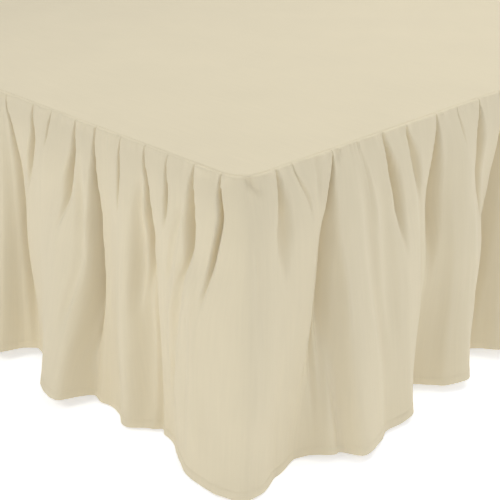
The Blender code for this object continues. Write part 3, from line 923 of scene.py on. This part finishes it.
def ruffle_shape(first, last):
    """Positions and flat places of the grid for one width of cloth, from one gather to another."""
    shares = cloth_rows()
    runs, outs = ruffle_surface(cloth_columns(first, last), shares)
    runs[:, 0] += JOIN_GAP / 2
    runs[:, -1] -= JOIN_GAP / 2
    heights = hanging_heights(runs, outs, shares, PLATFORM_TOP - EDGE_ROLL)
    width = cloth_width(runs[-1], outs[-1])
    down = np.broadcast_to((shares * DROP)[:, None], runs.shape)
    shifted = np.broadcast_to(width, runs.shape) + runs[0, 0] * WIDTH_SHIFT
    streaks = smooth_step(0.0, STREAKS_GROW, shares)[:, None] * waves(shifted, down, STREAKS)
    outs = outs + streaks + tucks(shifted, down) + hem_relief(shifted, down)
    # the corner of the panel's edge stands clear of the base, and the gathers under it too
    _, _, out_x, out_y = base_side(runs)
    fall_back = 1.0 - smooth_step(0.0, CORNER_FALLS_BACK, shares)[:, None]
    clear = CORNER_STANDS * (2.0 * out_x * out_y) ** 2 * fall_back
    outs = np.maximum(outs, CLEARANCE) + clear
    # above its drop the ruffle turns in over the panel's edge to the stitches
    rolled_outs, rolled_heights, rise = sewn_rows(outs[0], clear[0])
    outs = np.concatenate((rolled_outs, outs))
    heights = np.concatenate((rolled_heights, heights))
    down = np.concatenate((-rise, down))
    x, y, out_x, out_y = base_side(np.concatenate((np.repeat(runs[:1], ROLL_ROWS, axis=0), runs)))
    place = np.stack((x + outs * out_x, y + outs * out_y, heights), axis=2)
    return place, np.stack((np.broadcast_to(width, down.shape), -down), axis=2)


ruffle_finish = cream_cotton("cream cotton ruffle")
joins = width_joins()
for name, first, last in zip(RUFFLE_WIDTHS, joins, joins[1:]):
    place, cloth = ruffle_shape(first, last)
    ruffle = grid_mesh(name + "_cloth", place, cloth)
    face_out(ruffle, lambda at: (at.x, at.y - BED_MIDDLE_Y, 0.0))
    thicken(ruffle)
    ruffle.data.materials.append(ruffle_finish)
    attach(ruffle, "root")
    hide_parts(name)
    stitched = len(place) - len(HEM_ROWS) + HEM_ROWS.index(HEM_STITCHES)
    thread = stitches(name + "_hem_stitches", place[stitched], place[stitched + 1] - place[stitched])
    thread.data.materials.append(thread_finish)
    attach(thread, "root")

# ---------------------------------------------------------------------------------------------------
# The floor, the lights and the camera: a plain near-white floor, four large soft lights round and
# above the left foot corner, and a view down on to that corner from a little above the bed.

FLOOR_REACH = 10.0
FLOOR_ROUGHNESS = 0.9
FLOOR_WHITE = (0.93, 0.93, 0.93, 1.0)
FLOOR_GLOW_COLOUR = (1.0, 1.0, 1.0, 1.0)
FLOOR_GLOW = 0.50  # it glows a little, so that it stays white where the bed shades it
LIGHT_COLOUR = (1.0, 0.985, 0.92)
LIGHTS_AIM = (0.0, 0.0, 0.2)  # from the foot of the corner, as all places here are
LIGHTS = (
    # name, place, size, power
    ("left light", (-2.2, 0.9, 2.6), 1.6, 37.0),
    ("right light", (1.0, -2.3, 1.4), 1.6, 11.2),
    ("front light", (-1.7, -1.5, 1.5), 1.6, 7.5),
    ("top light", (1.6, 0.3, 2.9), 2.4, 55.0),
)
SKY = (0.90, 0.985, 1.22, 1.0)
SKY_STRENGTH = 0.275
SENSOR = 36.0  # millimetres, like the lens
LENS = 66.285
CAMERA_PLACE = (-0.6785, -0.7119, 0.7849)
CAMERA_DIPS = 25.395  # degrees below level
CAMERA_TURNS = 45.802  # degrees from along the foot toward the head

corner = Vector((-BED_WIDTH / 2, BED_MIDDLE_Y - BED_LENGTH / 2, 0.0))

floor_bm = bmesh.new()
bmesh.ops.create_grid(floor_bm, x_segments=1, y_segments=1, size=FLOOR_REACH)
floor_mesh = bpy.data.meshes.new("floor")
floor_bm.to_mesh(floor_mesh)
floor_bm.free()
floor = bpy.data.objects.new("floor", floor_mesh)
scene.collection.objects.link(floor)
floor_finish, _, floor_shader = new_material("pale floor", FLOOR_ROUGHNESS)
floor_shader.inputs["Base Color"].default_value = FLOOR_WHITE
floor_shader.inputs["Emission Color"].default_value = FLOOR_GLOW_COLOUR
floor_shader.inputs["Emission Strength"].default_value = FLOOR_GLOW
floor.data.materials.append(floor_finish)

for name, place, size, power in LIGHTS:
    lamp = bpy.data.lights.new(name, "AREA")
    lamp.shape = "SQUARE"
    lamp.size = size
    lamp.energy = power
    lamp.color = LIGHT_COLOUR
    light = bpy.data.objects.new(name, lamp)
    light.location = corner + Vector(place)
    light.rotation_euler = (Vector(LIGHTS_AIM) - Vector(place)).to_track_quat("-Z", "Y").to_euler()
    scene.collection.objects.link(light)

world = bpy.data.worlds.new("studio")
world.use_nodes = True
world.node_tree.nodes["Background"].inputs["Color"].default_value = SKY
world.node_tree.nodes["Background"].inputs["Strength"].default_value = SKY_STRENGTH
scene.world = world
scene.view_settings.view_transform = "Standard"

camera = bpy.data.objects.new("camera", bpy.data.cameras.new("camera"))
camera.data.sensor_width = SENSOR
camera.data.lens = LENS
camera.location = corner + Vector(CAMERA_PLACE)
camera.rotation_euler = (math.radians(90.0 - CAMERA_DIPS), 0.0, math.radians(CAMERA_TURNS - 90.0))
scene.collection.objects.link(camera)
scene.camera = camera
